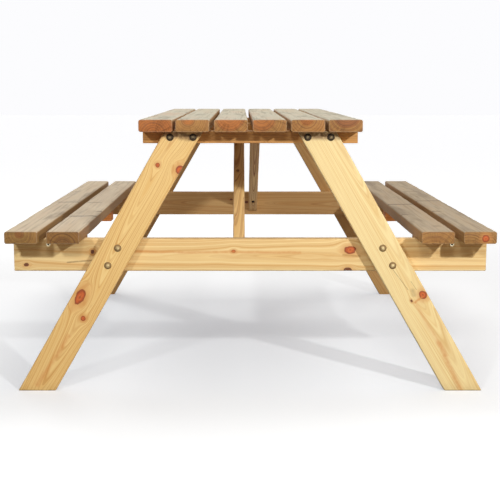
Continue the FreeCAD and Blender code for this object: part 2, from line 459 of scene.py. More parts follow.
@dataclass(frozen=True)
class Mark:
    """A thin stain or split on a timber, from one (along, across) point to another."""

    start: Point
    stop: Point
    width: float
    colour: Colour
    strength: float = 0.7
    soft: float = 1.0
    sunk: float = 0.0


def scar(start: Point, stop: Point, width: float, strength: float) -> Mark:
    """A dark, soft-edged scar across a board."""
    return Mark(start, stop, width, SCAR_AND_SHADE, strength, 0.8)


@dataclass(frozen=True)
class Figure:
    """How a timber was cut from its log."""

    pith: Point = (0.0, -0.05)
    lean: Point = (0.0, 0.02)
    sawn_at: float = 0.0
    ring: float = 0.0045
    heart: float = 0.0
    seed: float = 1.0
    knots: tuple[Knot, ...] = ()
    marks: tuple[Mark, ...] = ()
    tint: Colour = UNTINTED
    faint: float = 1.0
    heart_colour: Colour | None = None


@dataclass(frozen=True)
class WoodFinish:
    """The colours and the surface of one grade of softwood."""

    slot: str
    early: Colour
    late: Colour
    honey: Colour
    heart: Colour
    end: Colour
    top: Colour
    side: Colour
    # For timber, the dirt streaked and patched over weathered faces.
    grime_and_shade: Colour
    heart_strength: float
    end_strength: float
    top_amount: float
    ring_strength: float
    rough: float
    relief: float
    checks: float
    ease: float
    sway: float
    streak: float = 0.7
    # How much the edges are lightened, as rubbed wear and painted highlight.
    rubbed_and_highlight: float = 0.2


FRAME_TIMBER = WoodFinish(
    slot="frame_timber",
    early=stain(241, 217, 160),
    late=stain(200, 152, 88),
    honey=stain(224, 186, 120),
    heart=stain(210, 154, 88),
    end=stain(176, 134, 84),
    top=stain(230, 208, 162),
    side=stain(214, 176, 118),
    grime_and_shade=stain(186, 154, 112),
    heart_strength=0.55,
    end_strength=0.5,
    top_amount=0.25,
    ring_strength=0.7,
    rough=0.55,
    relief=0.0003,
    checks=0.0,
    ease=0.0035,
    sway=0.0006,
)

WEATHERED_TIMBER = WoodFinish(
    slot="weathered_timber",
    early=stain(180, 136, 78),
    late=stain(122, 78, 38),
    honey=stain(164, 112, 58),
    heart=stain(182, 106, 46),
    end=stain(160, 112, 60),
    top=stain(192, 180, 154),
    side=stain(156, 124, 82),
    grime_and_shade=stain(112, 92, 66),
    heart_strength=0.85,
    end_strength=0.25,
    top_amount=0.9,
    ring_strength=0.6,
    rough=0.62,
    relief=0.0006,
    checks=0.7,
    ease=0.0055,
    sway=0.0009,
)

BATTEN_TIMBER = WoodFinish(
    slot="batten_timber",
    early=stain(228, 176, 104),
    late=stain(160, 100, 48),
    honey=stain(204, 142, 74),
    heart=stain(170, 104, 50),
    end=stain(166, 116, 60),
    top=stain(186, 152, 108),
    side=stain(184, 140, 86),
    grime_and_shade=stain(126, 98, 68),
    heart_strength=0.6,
    end_strength=0.4,
    top_amount=0.3,
    ring_strength=0.6,
    rough=0.62,
    relief=0.0005,
    checks=0.4,
    ease=0.003,
    sway=0.0005,
)


class WoodShader:
    """Paints one timber as a solid piece of a log, so that its faces and its ends agree."""

    def __init__(self, name: str, finish: WoodFinish, figure: Figure, lie: Lie, size: Vector) -> None:
        """Start the material of one timber.

        Args:
            name: The material's name.
            finish: Its grade.
            figure: How it was cut from the log.
            lie: Where it is.
            size: Its length, width and depth.
        """
        self.recipe = Recipe(bpy.data.materials.new(name))
        self.finish = finish
        self.figure = figure
        self.lie = lie
        self.size = size
        self.place = self.recipe.along_timber(lie)
        self.along, self.across, self.depth = self.recipe.split(self.place)

    def grow(self) -> tuple[Field, Field, list[Field]]:
        """Work out the growth rings, which bend round every knot.

        Returns:
            The distance from the pith, the angle round it, and each knot's distance in knot radii.
        """
        r, f = self.recipe, self.figure
        drift = r.cloud(self.place, (1.3, 6.0, 6.0), f.seed) - 0.5
        waver = r.cloud(self.place, (5.0, 24.0, 24.0), f.seed + 3.1, detail=1.0) - 0.5
        further = self.along - f.sawn_at
        ring_across = self.across - f.pith[0] - further * f.lean[0] + drift * 0.018
        ring_depth = self.depth - f.pith[1] - further * f.lean[1] + drift * 0.008 + waver * 0.004
        ragged = 0.0
        if f.knots:
            ragged = r.cloud(self.place, (70.0, 110.0, 20.0), f.seed + 1.0, detail=1.0) * 0.5 - 0.25
        reaches = []
        for knot in f.knots:
            off_along = (self.along - knot.along) / knot.reach
            off_across = self.across - knot.across
            square = off_along * off_along + off_across * off_across
            if knot.depth is not None:
                off_depth = self.depth - knot.depth
                square = square + off_depth * off_depth
            pull = ((1.8 * knot.radius) ** 2 / square.at_least(1e-7)).at_most(1.0)
            ring_across = ring_across - off_across * pull
            reaches.append(square.root() / knot.radius + ragged)
        distance = (ring_across * ring_across + ring_depth * ring_depth).root()
        angle = distance.sum("ARCTAN2", ring_depth, ring_across)
        return distance, angle, reaches

    def dress(self) -> bpy.types.Material:
        """Build the whole material.

        Returns:
            The finished material.
        """
        r, f, w = self.recipe, self.figure, self.finish
        distance, angle, reaches = self.grow()
        years = r.node(
            "ShaderNodeTexNoise", {"noise_dimensions": "1D"},
            {"W": distance * (0.30 / f.ring) + f.seed, "Detail": 2.0, "Roughness": 0.6})
        rings = (distance / f.ring + years * 2.5).fraction()
        late = rings.rise(0.2, 0.88) * rings.fall(0.9, 1.0) * (0.3 + years.rise(0.3, 0.65) * 0.7)
        band = r.cloud(self.place, (0.8, 22.0, 22.0), f.seed + 11.0, detail=2.0, rough=0.6)
        streaky = (years * 0.6 + band * 0.4).rise(0.42, 0.62)
        colour = r.blend(streaky * w.streak, w.early, w.honey)
        if f.heart > 0:
            edge = distance + (band - 0.5) * 0.016
            heart = edge.fall(f.heart - 0.006, f.heart + 0.003)
            rim = edge.rise(f.heart - 0.001, f.heart + 0.003) * edge.fall(f.heart + 0.003, f.heart + 0.008)
            colour = r.blend(rim * 0.55, colour, w.early)
            colour = r.blend(heart * w.heart_strength, colour, f.heart_colour or w.heart)
        colour = r.blend(late * (w.ring_strength * f.faint), colour, w.late)
        fibre = r.cloud(self.place, (12.0, 560.0, 560.0), f.seed + 2.0, detail=2.0, rough=0.6)
        colour = r.blend(fibre.rise(0.45, 0.8) * 0.22, colour, w.late)
        end = abs(r.facing(self.lie.grain.normalized())).rise(0.45, 0.8)
        colour = self.add_end_grain(colour, end, late)
        if f.tint != UNTINTED:
            colour = r.blend(1.0, colour, f.tint, "MULTIPLY")
        colour, proud = self.add_knots(colour, reaches)
        colour, worn = self.add_weather(colour, end)
        height = late * 0.45 + fibre * 0.35
        if w.checks > 0:
            crack = self.checks(end, angle)
            colour = r.blend(crack * 0.7, colour, CRACK)
            height = height - crack * 1.6
        if proud is not None:
            height = height + proud * 0.4
        broad = 1.0
        if f.marks:
            broad = abs(r.facing(self.lie.face.normalized())).rise(0.3, 0.9) * 0.8 + 0.2
        for mark in f.marks:
            trace = self.trace(mark) * broad
            colour = r.blend(trace * mark.strength, colour, mark.colour)
            if mark.sunk:
                height = height - trace * mark.sunk
        rough = w.rough + fibre * 0.14 + worn * 0.06 - late * 0.08
        r.finish(colour, rough, height, w.relief)
        return r.owner

    def trace(self, mark: Mark) -> Field:
        """Find one mark.

        Args:
            mark: The mark.

        Returns:
            1 along its line, fading out to its sides and ends.
        """
        r = self.recipe
        run = mark.stop[0] - mark.start[0]
        side = mark.stop[1] - mark.start[1]
        square = run * run + side * side
        wobble = r.cloud(self.place, (14.0, 30.0, 30.0), mark.start[0] * 7 + 2.0, detail=2.0) - 0.5
        off_along = self.along - mark.start[0] + wobble * mark.width * 1.2
        off_across = self.across - mark.start[1] + wobble * mark.width * 1.2
        part = (off_along * (run / square) + off_across * (side / square)).at_least(0.0).at_most(1.0)
        miss_along = off_along - part * run
        miss_across = off_across - part * side
        miss = (miss_along * miss_along + miss_across * miss_across).root()
        crumbs = r.cloud(self.place, (110.0, 110.0, 110.0), mark.start[1] * 9 + 4.0, detail=2.0)
        broken = crumbs.rise(0.3, 0.6)
        return miss.fall(mark.width * (1 - mark.soft) * 0.5, mark.width) * (0.7 + broken * 0.3)

    def add_knots(self, colour: Field, reaches: list[Field]) -> tuple[Field, Field | None]:
        """Darken the grain round each knot and paint the knot itself.

        Args:
            colour: The clear timber's colour.
            reaches: Each knot's distance in knot radii.

        Returns:
            The colour with knots, and where they stand proud of the surface.
        """
        r = self.recipe
        proud = None
        for knot, reach in zip(self.figure.knots, reaches):
            halo = reach.fall(0.9, 2.4) * HALO_STRENGTH[knot.kind]
            colour = r.blend(halo, colour, HALO)
            core = r.node("ShaderNodeValToRGB", {"stops": KNOT_STOPS[knot.kind]}, {"Fac": reach})
            flecks = r.cloud(self.place, (160.0, 200.0, 60.0), knot.along * 9 + 1.0, detail=2.0, rough=0.7)
            core = r.blend(flecks.rise(0.45, 0.7) * 0.4, core, FLECK)
            mask = reach.fall(0.86, 1.06)
            colour = r.blend(mask, colour, core)
            proud = mask if proud is None else proud.at_least(mask)
        return colour, proud

    def add_end_grain(self, colour: Field, end: Field, late: Field) -> Field:
        """Make the sawn ends darker and rougher, with their growth rings plain to see.

        Args:
            colour: The timber's colour.
            end: Where the surface is a sawn end.
            late: Where each year's dark wood is.

        Returns:
            The colour with its end grain.
        """
        r, w = self.recipe, self.finish
        colour = r.blend(end * w.end_strength, colour, w.end)
        darker = r.blend(1.0, colour, END_SHADE, "MULTIPLY")
        colour = r.blend(end * late * 0.5, colour, darker)
        marks = r.cloud(self.place, (4.0, 70.0, 900.0), self.figure.seed + 5.0, detail=2.0, rough=0.7)
        blotch = r.cloud(self.place, (30.0, 70.0, 70.0), self.figure.seed + 6.0, detail=3.0, rough=0.65)
        colour = r.blend(end * marks.rise(0.5, 0.75) * 0.32, colour, END_SCORE)
        return r.blend(end * blotch.rise(0.48, 0.75) * 0.42, colour, END_BLOTCH)

    def add_weather(self, colour: Field, end: Field) -> tuple[Field, Field]:
        """Grey the faces that look up, and lighten the edges, partly as rubbed wear and partly as painted
        highlight.

        Args:
            colour: The timber's colour.
            end: Where the surface is a sawn end.

        Returns:
            The weathered colour, and how weathered it is.
        """
        r, w, seed = self.recipe, self.finish, self.figure.seed
        patch = r.cloud(self.place, (2.6, 15.0, 15.0), seed + 13.0, detail=3.0, rough=0.6)
        streak = r.cloud(self.place, (2.5, 110.0, 110.0), seed + 17.0, detail=3.0, rough=0.6)
        flank = abs(r.facing(self.lie.turn().col[1])).rise(0.5, 0.9) * (1 - end) * w.top_amount
        colour = r.blend(flank * (0.25 + patch * 0.5), colour, w.side)
        up = r.facing(UP).rise(0.25, 0.85)
        worn = up * (1 - end) * (0.45 + patch * 1.0).at_most(1.0)
        colour = r.blend(worn * w.top_amount, colour, w.top)
        colour = r.blend(worn * streak.rise(0.48, 0.72) * w.top_amount * 0.55, colour, w.grime_and_shade)
        colour = r.blend(worn * patch.rise(0.50, 0.68) * w.top_amount * 0.6, colour, w.grime_and_shade)
        side = self.near_rim(self.across, self.size.y, EDGE_WEAR_AND_HIGHLIGHT)
        face = self.near_rim(self.depth, self.size.z, EDGE_WEAR_AND_HIGHLIGHT)
        tip = self.near_rim(self.along, self.size.x, END_WEAR_AND_HIGHLIGHT)
        edge = (side * face).at_least(side * tip).at_least(face * tip)
        # The lighter edges are rubbed wear and, in part, a painted highlight where light catches the arris.
        return r.blend(edge * w.rubbed_and_highlight, colour, w.top), worn

    def near_rim(self, distance: Field, size: float, width: float) -> Field:
        """Rise from 0 to 1 over a strip's width, up to the timber's faces at half its size."""
        return abs(distance).rise(size / 2 - width, size / 2)

    def checks(self, end: Field, angle: Field) -> Field:
        """Find the drying cracks: along the grain on the faces and out from the pith on the ends.

        Args:
            end: Where the surface is a sawn end.
            angle: The angle round the pith.

        Returns:
            1 in a crack and 0 elsewhere.
        """
        r, seed, amount = self.recipe, self.figure.seed, self.finish.checks
        line = abs(r.cloud(self.place, (0.35, 48.0, 48.0), seed + 23.0, detail=0.0) - 0.5)
        where = r.cloud(self.place, (3.0, 14.0, 14.0), seed + 29.0, detail=1.0)
        on_face = line.fall(0.001, 0.0045) * where.rise(0.62 - amount * 0.05, 0.68) * (1 - end) * 0.7
        spoke = r.node(
            "ShaderNodeTexNoise", {"noise_dimensions": "1D"}, {"W": angle * 5.0 + seed, "Detail": 1.0})
        on_end = abs(spoke - 0.5).fall(0.002, 0.014) * where.rise(0.42, 0.56) * end
        return (on_face + on_end * amount).at_most(1.0)


@dataclass(frozen=True)
class Bore:
    """A round hole drilled into a timber, along its CAD frame."""

    start: Vector
    stop: Vector
    radius: float

    def cut(self, piece: bpy.types.Object) -> None:
        """Drill the hole into a piece, and leave nothing else behind.

        Args:
            piece: The piece.
        """
        bm = bmesh.new()
        run = self.stop - self.start
        aim = run.to_track_quat("Z", "Y").to_matrix().to_4x4()
        aim.translation = (self.start + self.stop) / 2
        bmesh.ops.create_cone(bm, cap_ends=True, segments=ROUND_STEPS, radius1=self.radius,
                              radius2=self.radius, depth=run.length, matrix=aim)
        mesh = bpy.data.meshes.new("drill")
        bm.to_mesh(mesh)
        bm.free()
        drill = bpy.data.objects.new("drill", mesh)
        bpy.context.scene.collection.objects.link(drill)
        hole = piece.modifiers.new("bore", "BOOLEAN")
        hole.operation = "DIFFERENCE"
        hole.solver = "EXACT"
        hole.object = drill
        solid = piece.data
        graph = bpy.context.evaluated_depsgraph_get()
        piece.data = bpy.data.meshes.new_from_object(piece.evaluated_get(graph))
        piece.modifiers.clear()
        for used in (drill, mesh, solid):
            bpy.data.batch_remove([used])


@dataclass
class Timber:
    """One sawn timber, from its size and place to its finished piece."""

    node: str
    lie: Lie
    size: Vector
    finish: WoodFinish
    figure: Figure
    cuts: list[tuple[Vector, Vector]] = field(default_factory=list)
    bores: list[Bore] = field(default_factory=list)
    station_gap: float = 0.035
    lanes: int = 6
    ease_steps: int = 4
    end_ease: float = 0.0013
    ripple: float = 0.00022
    nibble: float = 0.0016

    def block(self) -> bmesh.types.BMesh:
        """Make the straight stick with its long edges eased and its ends cut.

        Returns:
            The stick, in its own directions.
        """
        bm = bmesh.new()
        bmesh.ops.create_cube(bm, size=1.0, matrix=Matrix.Diagonal((*self.size, 1.0)))
        long_edges = [e for e in bm.edges if abs(e.verts[0].co.x - e.verts[1].co.x) > self.size.x / 2]
        bmesh.ops.bevel(
            bm, geom=long_edges, affect="EDGES", offset=self.finish.ease, segments=self.ease_steps,
            profile=0.5, material=-1)
        to_own = self.lie.matrix().inverted()
        for point, outward in self.cuts:
            bmesh.ops.bisect_plane(
                bm, geom=bm.verts[:] + bm.edges[:] + bm.faces[:], plane_co=to_own @ point,
                plane_no=to_own.to_3x3() @ outward, clear_outer=True)
            rim = [e for e in bm.edges if e.is_boundary]
            bmesh.ops.holes_fill(bm, edges=rim, sides=0)
        caps = {f for f in bm.faces if len(f.verts) > 4}
        rims = [e for e in bm.edges if any(f in caps for f in e.link_faces)]
        bmesh.ops.bevel(
            bm, geom=rims, affect="EDGES", offset=self.end_ease, segments=2, profile=0.5, material=-1,
            clamp_overlap=True)
        return bm

    def cross_cut(self, bm: bmesh.types.BMesh) -> None:
        """Divide the stick along and across, so that it can bend and wear.

        Args:
            bm: The stick.
        """
        low = min(v.co.x for v in bm.verts)
        high = max(v.co.x for v in bm.verts)
        count = max(2, round((high - low) / self.station_gap))
        cuts = []
        for i in range(1, count):
            cuts.append((Vector((low + (high - low) * i / count, 0, 0)), Vector((1, 0, 0))))
        for i in range(1, self.lanes):
            cuts.append((Vector((0, self.size.y * (i / self.lanes - 0.5), 0)), Vector((0, 1, 0))))
        for point, normal in cuts:
            bmesh.ops.bisect_plane(
                bm, geom=bm.verts[:] + bm.edges[:] + bm.faces[:], plane_co=point, plane_no=normal)

    def age(self, bm: bmesh.types.BMesh) -> None:
        """Give the stick a slight bow, ripples and worn edges.

        Args:
            bm: The stick.
        """
        seed = self.figure.seed * 3.7
        half = self.size / 2
        for v in bm.verts:
            x, y, z = v.co
            sway = noise.noise(Vector((x * 1.4, seed, 0.0))) * self.finish.sway
            lift = noise.noise(Vector((x * 1.2, 4.0, seed))) * self.finish.sway * 0.5
            cup = (y / half.y) ** 2 * noise.noise(Vector((x * 0.8, seed, 9.0))) * self.finish.sway
            ripple = noise.noise(Vector((x * 9.0, y * 55.0, z * 55.0 + seed))) * self.ripple
            corner = min(1.0, max(0.0, abs(y) / half.y * abs(z) / half.z - 0.72) / 0.2)
            bite = max(0.0, noise.noise(Vector((x * 24.0, y * 8.0 + seed, z * 8.0))))
            nibble = bite * corner * self.nibble
            v.co.y += sway - math.copysign(nibble, y) + math.copysign(ripple, y)
            v.co.z += lift + cup - math.copysign(nibble, z) + math.copysign(ripple, z)

    def build(self) -> bpy.types.Object:
        """Make the finished piece.

        Returns:
            The piece, in its place.
        """
        bm = self.block()
        self.cross_cut(bm)
        self.age(bm)
        bmesh.ops.recalc_face_normals(bm, faces=bm.faces[:])
        bm.transform(self.lie.matrix())
        low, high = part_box(self.node)
        for v in bm.verts:
            v.co = [min(max(c, a), b) for c, a, b in zip(v.co, low, high)]
        material = WoodShader(f"{self.node}_wood", self.finish, self.figure, self.lie, self.size).dress()
        piece = finish_piece(f"{self.node}_piece", bm, material, [self.node])
        for bore in self.bores:
            bore.cut(piece)
        return piece


def finish_piece(
    name: str, bm: bmesh.types.BMesh, material: bpy.types.Material, nodes: list[str]
) -> bpy.types.Object:
    """Turn a bmesh into a piece of the table.

    Args:
        name: The piece's name.
        bm: Its shape, in its place. It is freed.
        material: Its finish.
        nodes: The CAD nodes that it stands for.

    Returns:
        The piece.
    """
    mesh = bpy.data.meshes.new(name)
    bm.to_mesh(mesh)
    bm.free()
    mesh.shade_smooth()
    mesh.set_sharp_from_angle(angle=SHARP_ANGLE)
    mesh.materials.append(material)
    piece = bpy.data.objects.new(name, mesh)
    bpy.context.scene.collection.objects.link(piece)
    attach(piece, "root")
    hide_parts(*nodes)
    log.info("%s: %d faces", name, len(mesh.polygons))
    return piece


def screw_seat(low: Vector, high: Vector) -> float:
    """Distance from the table's middle to the bottom of a brace's counterbore.

    Args:
        low: The lower corner of the brace's box.
        high: Its upper corner.

    Returns:
        The distance.
    """
    foot, head = sorted((abs(low.y), abs(high.y)), reverse=True)
    slope = (BRACE_SHOULDER - low.z) / (foot - head)
    return foot - (BRACE_SCREW_HEIGHT - low.z) / slope + COUNTERBORE_DEPTH


def straight(
    node: str, grain: Vector, face: Vector, finish: WoodFinish, figure: Figure, **more: object
) -> Timber:
    """A timber that fills its CAD node's box.

    Args:
        node: The CAD node.
        grain: The way its grain runs.
        face: The way its broad face looks.
        finish: Its grade.
        figure: How it was cut from the log.
        **more: Other fields of the timber.

    Returns:
        The timber.
    """
    low, high = corners(node)
    lie = Lie((low + high) / 2, grain, face)
    own = lie.turn().transposed() @ (high - low)
    return Timber(node, lie, Vector([abs(c) for c in own]), finish, figure, **more)


# ---------------------------------------------------------------------------
# Tabletop, benches and end frames
# ---------------------------------------------------------------------------


@dataclass
class Tabletop:
    """Six boards on three cleats."""

    # The tops' pale grey is weathering and, in part, a painted sheen.
    top: Colour = stain(186, 186, 170)
    boards: tuple[Figure, ...] = (
        Figure(
            (0.004, -0.024), (0.01, 0.01), TOP_END, ring=0.0052, heart=0.060, seed=1.3,
            tint=(1.12, 1.04, 0.94)),
        Figure(
            (0.0127, 0.017), (-0.01, 0.02), TOP_END, ring=0.0052, heart=0.016, seed=2.9,
            tint=(1.02, 1.03, 0.98)),
        Figure(
            (0.001, 0.026), (0.01, 0.02), TOP_END, ring=0.0066, heart=0.042, seed=4.1,
            tint=(1.04, 1.0, 0.90),
            marks=(scar((-0.04, -0.045), (-0.035, -0.012), 0.018, 0.6),)),
        Figure(
            (0.020, 0.024), (0.0, 0.02), TOP_END, ring=0.0070, heart=0.040, seed=5.7,
            tint=(1.02, 1.02, 0.92),
            marks=(
                scar((-0.12, 0.045), (-0.11, 0.020), 0.018, 0.6),
                scar((0.21, 0.045), (0.22, 0.000), 0.016, 0.45))),
        Figure(
            (0.004, 0.0185), (0.01, 0.015), TOP_END, ring=0.0060, heart=0.0195, seed=7.3,
            tint=(1.10, 1.08, 0.98)),
        Figure(
            (-0.004, 0.0298), (-0.01, 0.01), TOP_END, ring=0.0095, heart=0.0385, seed=8.9,
            tint=(0.88, 0.86, 0.80), heart_colour=stain(150, 84, 44)),
    )

    def timbers(self) -> list[Timber]:
        """List the boards and the cleats.

        Returns:
            Their timbers.
        """
        made = []
        finish = replace(WEATHERED_TIMBER, top=self.top, grime_and_shade=stain(118, 110, 88), top_amount=0.97)
        for number, figure in enumerate(self.boards, start=1):
            made.append(straight(f"tabletop_board_{number}", ALONG, UP, finish, figure))
        for index, place in enumerate(PLACES):
            figure = Figure(pith=(0.01, -0.045), seed=20.0 + index * 1.9)
            made.append(straight(f"tabletop_cleat_{place}", ACROSS, -UP, BATTEN_TIMBER, figure, lanes=4))
        return made


@dataclass
class Bench:
    """Two seat boards on three battens, on one side of the table."""

    side: Side
    top: Colour
    outer: Figure
    inner: Figure
    orange: Colour = (1.22, 0.84, 0.58)

    def timbers(self) -> list[Timber]:
        """List the boards and the battens.

        Returns:
            Their timbers.
        """
        side = self.side.name.lower()
        finish = replace(WEATHERED_TIMBER, top=self.top, grime_and_shade=stain(100, 82, 60))
        made = [
            straight(f"seat_board_{side}_outer", ALONG, UP, finish, self.outer),
            straight(f"seat_board_{side}_inner", ALONG, UP, finish, self.inner),
        ]
        for index, place in enumerate(PLACES):
            tint = self.orange if place == "middle" else UNTINTED
            seed = 30.0 + index * 1.7 + self.side.value * 5.0
            figure = Figure(pith=(0.005, -0.04), seed=seed, tint=tint)
            node = f"seat_batten_{side}_{place}"
            made.append(straight(node, ACROSS, -UP, BATTEN_TIMBER, figure, lanes=4))
        return made


@dataclass
class EndFrame:
    """Two splayed legs, a seat beam and a brace, at one end of the table."""

    end: End
    left_leg: Figure
    right_leg: Figure
    beam: Figure
    brace: Figure

    def leg(self, side: Side, figure: Figure) -> Timber:
        """A leg, cut level at the ground and under the boards.

        Args:
            side: The side of the table that it is on.
            figure: How it was cut from the log.

        Returns:
            The leg.
        """
        node = f"leg_{self.end.name.lower()}_{side.name.lower()}"
        low, high = corners(node)
        height = high.z - low.z
        spread = (high.x - low.x) - height * math.tan(LEG_SPLAY)
        foot = (high.x if side is Side.RIGHT else -low.x) - spread / 2
        halfway = side.value * (foot - math.tan(LEG_SPLAY) * height / 2)
        middle = Vector((halfway, (low.y + high.y) / 2, height / 2))
        grain = Vector((-side.value * math.sin(LEG_SPLAY), 0.0, math.cos(LEG_SPLAY)))
        length = height / math.cos(LEG_SPLAY) + SAW_ALLOWANCE
        size = Vector((length, spread * math.cos(LEG_SPLAY), high.y - low.y))
        cuts = [(Vector((0, 0, low.z)), -UP), (Vector((0, 0, high.z)), UP)]
        lie = Lie(middle, grain, ALONG * self.end.value)
        return Timber(node, lie, size, FRAME_TIMBER, figure, cuts, end_ease=0.0018)

    def brace_timber(self) -> Timber:
        """The sloping brace, cut upright at both ends and level under the boards.

        Returns:
            The brace.
        """
        end = self.end.value
        node = f"brace_{self.end.name.lower()}"
        low, high = corners(node)
        foot, head = sorted((abs(low.y), abs(high.y)), reverse=True)
        run, climb = foot - head, BRACE_SHOULDER - low.z
        grain = Vector((0.0, -end * run, climb)).normalized()
        out = Vector((0.0, end * climb, run)).normalized()
        under = Vector(((low.x + high.x) / 2, end * (foot + head) / 2, low.z + climb / 2))
        size = Vector((math.hypot(run, climb) + SAW_ALLOWANCE, high.x - low.x, BRACE_DEPTH))
        cuts = [
            (Vector((0, end * foot, 0)), ALONG * end),
            (Vector((0, end * head, 0)), ALONG * -end),
            (Vector((0, 0, high.z)), UP),
        ]
        lie = Lie(under + out * BRACE_DEPTH / 2, grain, out)
        seat = Vector((under.x, end * screw_seat(low, high), BRACE_SCREW_HEIGHT))
        bores = [Bore(seat - ALONG * (end * 2 * COUNTERBORE_DEPTH), seat, COUNTERBORE_RADIUS)]
        late = stain(166, 108, 56)
        finish = replace(FRAME_TIMBER, slot="batten_timber", ring_strength=1.0, late=late)
        return Timber(node, lie, size, finish, self.brace, cuts, bores, lanes=4)

    def timbers(self) -> list[Timber]:
        """List the legs, the beam and the brace.

        Returns:
            Their timbers.
        """
        face = ALONG * self.end.value
        beam = straight(f"seat_beam_{self.end.name.lower()}", ACROSS, face, FRAME_TIMBER, self.beam)
        legs = [self.leg(Side.LEFT, self.left_leg), self.leg(Side.RIGHT, self.right_leg)]
        return [*legs, beam, self.brace_timber()]


# ---------------------------------------------------------------------------
# Fasteners
# ---------------------------------------------------------------------------


@dataclass(frozen=True)
class Spot:
    """Where a fastener starts and the way it points."""

    start: Vector
    direction: Vector

    def matrix(self) -> Matrix:
        """Placement of a fastener that was made along +Z from the origin."""
        turn = UP.rotation_difference(self.direction).to_matrix().to_4x4()
        return Matrix.Translation(self.start) @ turn


def soil(
    bm: bmesh.types.BMesh, verts: list[bmesh.types.BMVert], face: float, radius: float | None, hollow: float
) -> None:
    """Note how dark each corner of a fastener is painted, from 0 to 1: painted shade on a dome's outer slope
    and in a head's recess, and dirt on the shank.

    Args:
        bm: The fastener's mesh.
        verts: Its corners.
        face: Height of the head's outer face.
        radius: The head's radius, towards which the painted shade deepens, or None for a head that is painted
            shade only in its recess.
        hollow: Radius of the recess in the head, or 0.
    """
    layer = bm.verts.layers.float["soil"]
    for v in verts:
        reach = math.hypot(v.co.x, v.co.y)
        if v.co.z > max(face, 0.0) + HEAD_RIM and reach >= hollow:
            v[layer] = 0.6
        elif reach < hollow and v.co.z > face + RECESS_LIP:
            v[layer] = 1.0
        elif radius is None:
            v[layer] = 0.0
        else:
            v[layer] = min(1.0, max(0.0, (reach / radius - 0.15) / 0.55)) * 0.85


def turned(bm: bmesh.types.BMesh, outline: list[Point], steps: int) -> list[bmesh.types.BMVert]:
    """Spin an outline of (height, radius) points round Z.

    Args:
        bm: Where it is added.
        outline: The outline's points, from one end of the axis to the other.
        steps: How many facets go round.

    Returns:
        The new corners.
    """
    before = set(bm.verts)
    line = [bm.verts.new((radius, 0.0, height)) for height, radius in outline]
    edges = [bm.edges.new(pair) for pair in zip(line, line[1:])]
    bmesh.ops.spin(
        bm, geom=line + edges, cent=(0, 0, 0), axis=(0, 0, 1), angle=math.tau, steps=steps, use_merge=True)
    made = [v for v in bm.verts if v not in before]
    bmesh.ops.remove_doubles(bm, verts=made, dist=1e-6)
    return [v for v in bm.verts if v not in before]


def ridges(start: float, stop: float, radius: float, pitch: float, depth: float) -> list[Point]:
    """An outline of thread ridges.

    Args:
        start: Height of the first ridge.
        stop: Height of the last one.
        radius: Outer radius.
        pitch: Distance between ridges.
        depth: How deep the grooves are.

    Returns:
        The (height, radius) points.
    """
    points = []
    for index in range(int((stop - start) / pitch)):
        height = start + index * pitch
        points.append((height, radius - depth))
        points.append((height + pitch / 2, radius))
    return points


@dataclass
class Fastener:
    """A kind of fastener that is repeated over the table."""

    node: str
    steps: int = 24

    def shape(self, bm: bmesh.types.BMesh) -> list[bmesh.types.BMVert]:
        """Add one fastener along +Z, and return its corners."""
        raise NotImplementedError

    def build(self, spots: list[Spot], material: bpy.types.Material) -> bpy.types.Object:
        """Make the whole set as one piece.

        Args:
            spots: Where each one is.
            material: The metal.

        Returns:
            The piece.
        """
        bm = bmesh.new()
        bm.verts.layers.float.new("soil")
        for spot in spots:
            verts = self.shape(bm)
            turn = (spot.start.x * 37.0 + spot.start.z * 53.0) % math.tau
            own = spot.matrix() @ Matrix.Rotation(turn, 4, "Z")
            bmesh.ops.transform(bm, matrix=own, verts=verts)
        bmesh.ops.recalc_face_normals(bm, faces=bm.faces[:])
        return finish_piece(f"{self.node}_set", bm, material, [self.node])


@dataclass
class CoachBolt(Fastener):
    """A dome-headed bolt with a square neck and a threaded end."""

    length: float = 0.080
    thread: float = 0.024
    pitch: float = 0.00125
    thread_depth: float = 0.0005
    tip: float = 0.0015
    dome_rings: int = 8

    def shape(self, bm: bmesh.types.BMesh) -> list[bmesh.types.BMVert]:
        """Add one bolt, with its head's underside at the origin and its shank along +Z.

        Args:
            bm: Where it is added.

        Returns:
            Its corners.
        """
        ball = (DOME_RADIUS ** 2 + DOME_HEIGHT ** 2) / (2 * DOME_HEIGHT)
        outline = []
        for index in range(self.dome_rings):
            radius = DOME_RADIUS * 0.985 * index / (self.dome_rings - 1)
            outline.append((ball - DOME_HEIGHT - math.sqrt(ball ** 2 - radius ** 2), radius))
        thread = self.length - self.thread
        outline += [(-0.0009, DOME_RADIUS), (-0.0003, DOME_RADIUS), (0.0, DOME_RADIUS * 0.97)]
        outline += [(0.0, BOLT_RADIUS), (thread, BOLT_RADIUS)]
        outline += ridges(thread, self.length - self.tip, BOLT_RADIUS, self.pitch, self.thread_depth)
        outline += [(self.length, BOLT_RADIUS * 0.8), (self.length, 0.0)]
        verts = turned(bm, outline, self.steps)
        soil(bm, verts, -DOME_HEIGHT, DOME_RADIUS, 0.0)
        neck = bmesh.ops.create_cube(bm, size=BOLT_RADIUS * 2, matrix=Matrix.Translation((0, 0, BOLT_RADIUS)))
        return verts + neck["verts"]


@dataclass
class Washer(Fastener):
    """A flat washer with rounded rims."""

    radius: float = 0.012
    thickness: float = 0.0016
    rim: float = 0.0003

    def shape(self, bm: bmesh.types.BMesh) -> list[bmesh.types.BMVert]:
        """Add one washer that starts at the origin.

        Args:
            bm: Where it is added.

        Returns:
            Its corners.
        """
        inner, outer, thick, soft = WASHER_BORE, self.radius, self.thickness, self.rim
        outline = [
            (0.0, inner), (0.0, outer - soft), (soft, outer), (thick - soft, outer),
            (thick, outer - soft), (thick, inner + soft), (thick - soft, inner), (0.0, inner),
        ]
        return turned(bm, outline, self.steps)


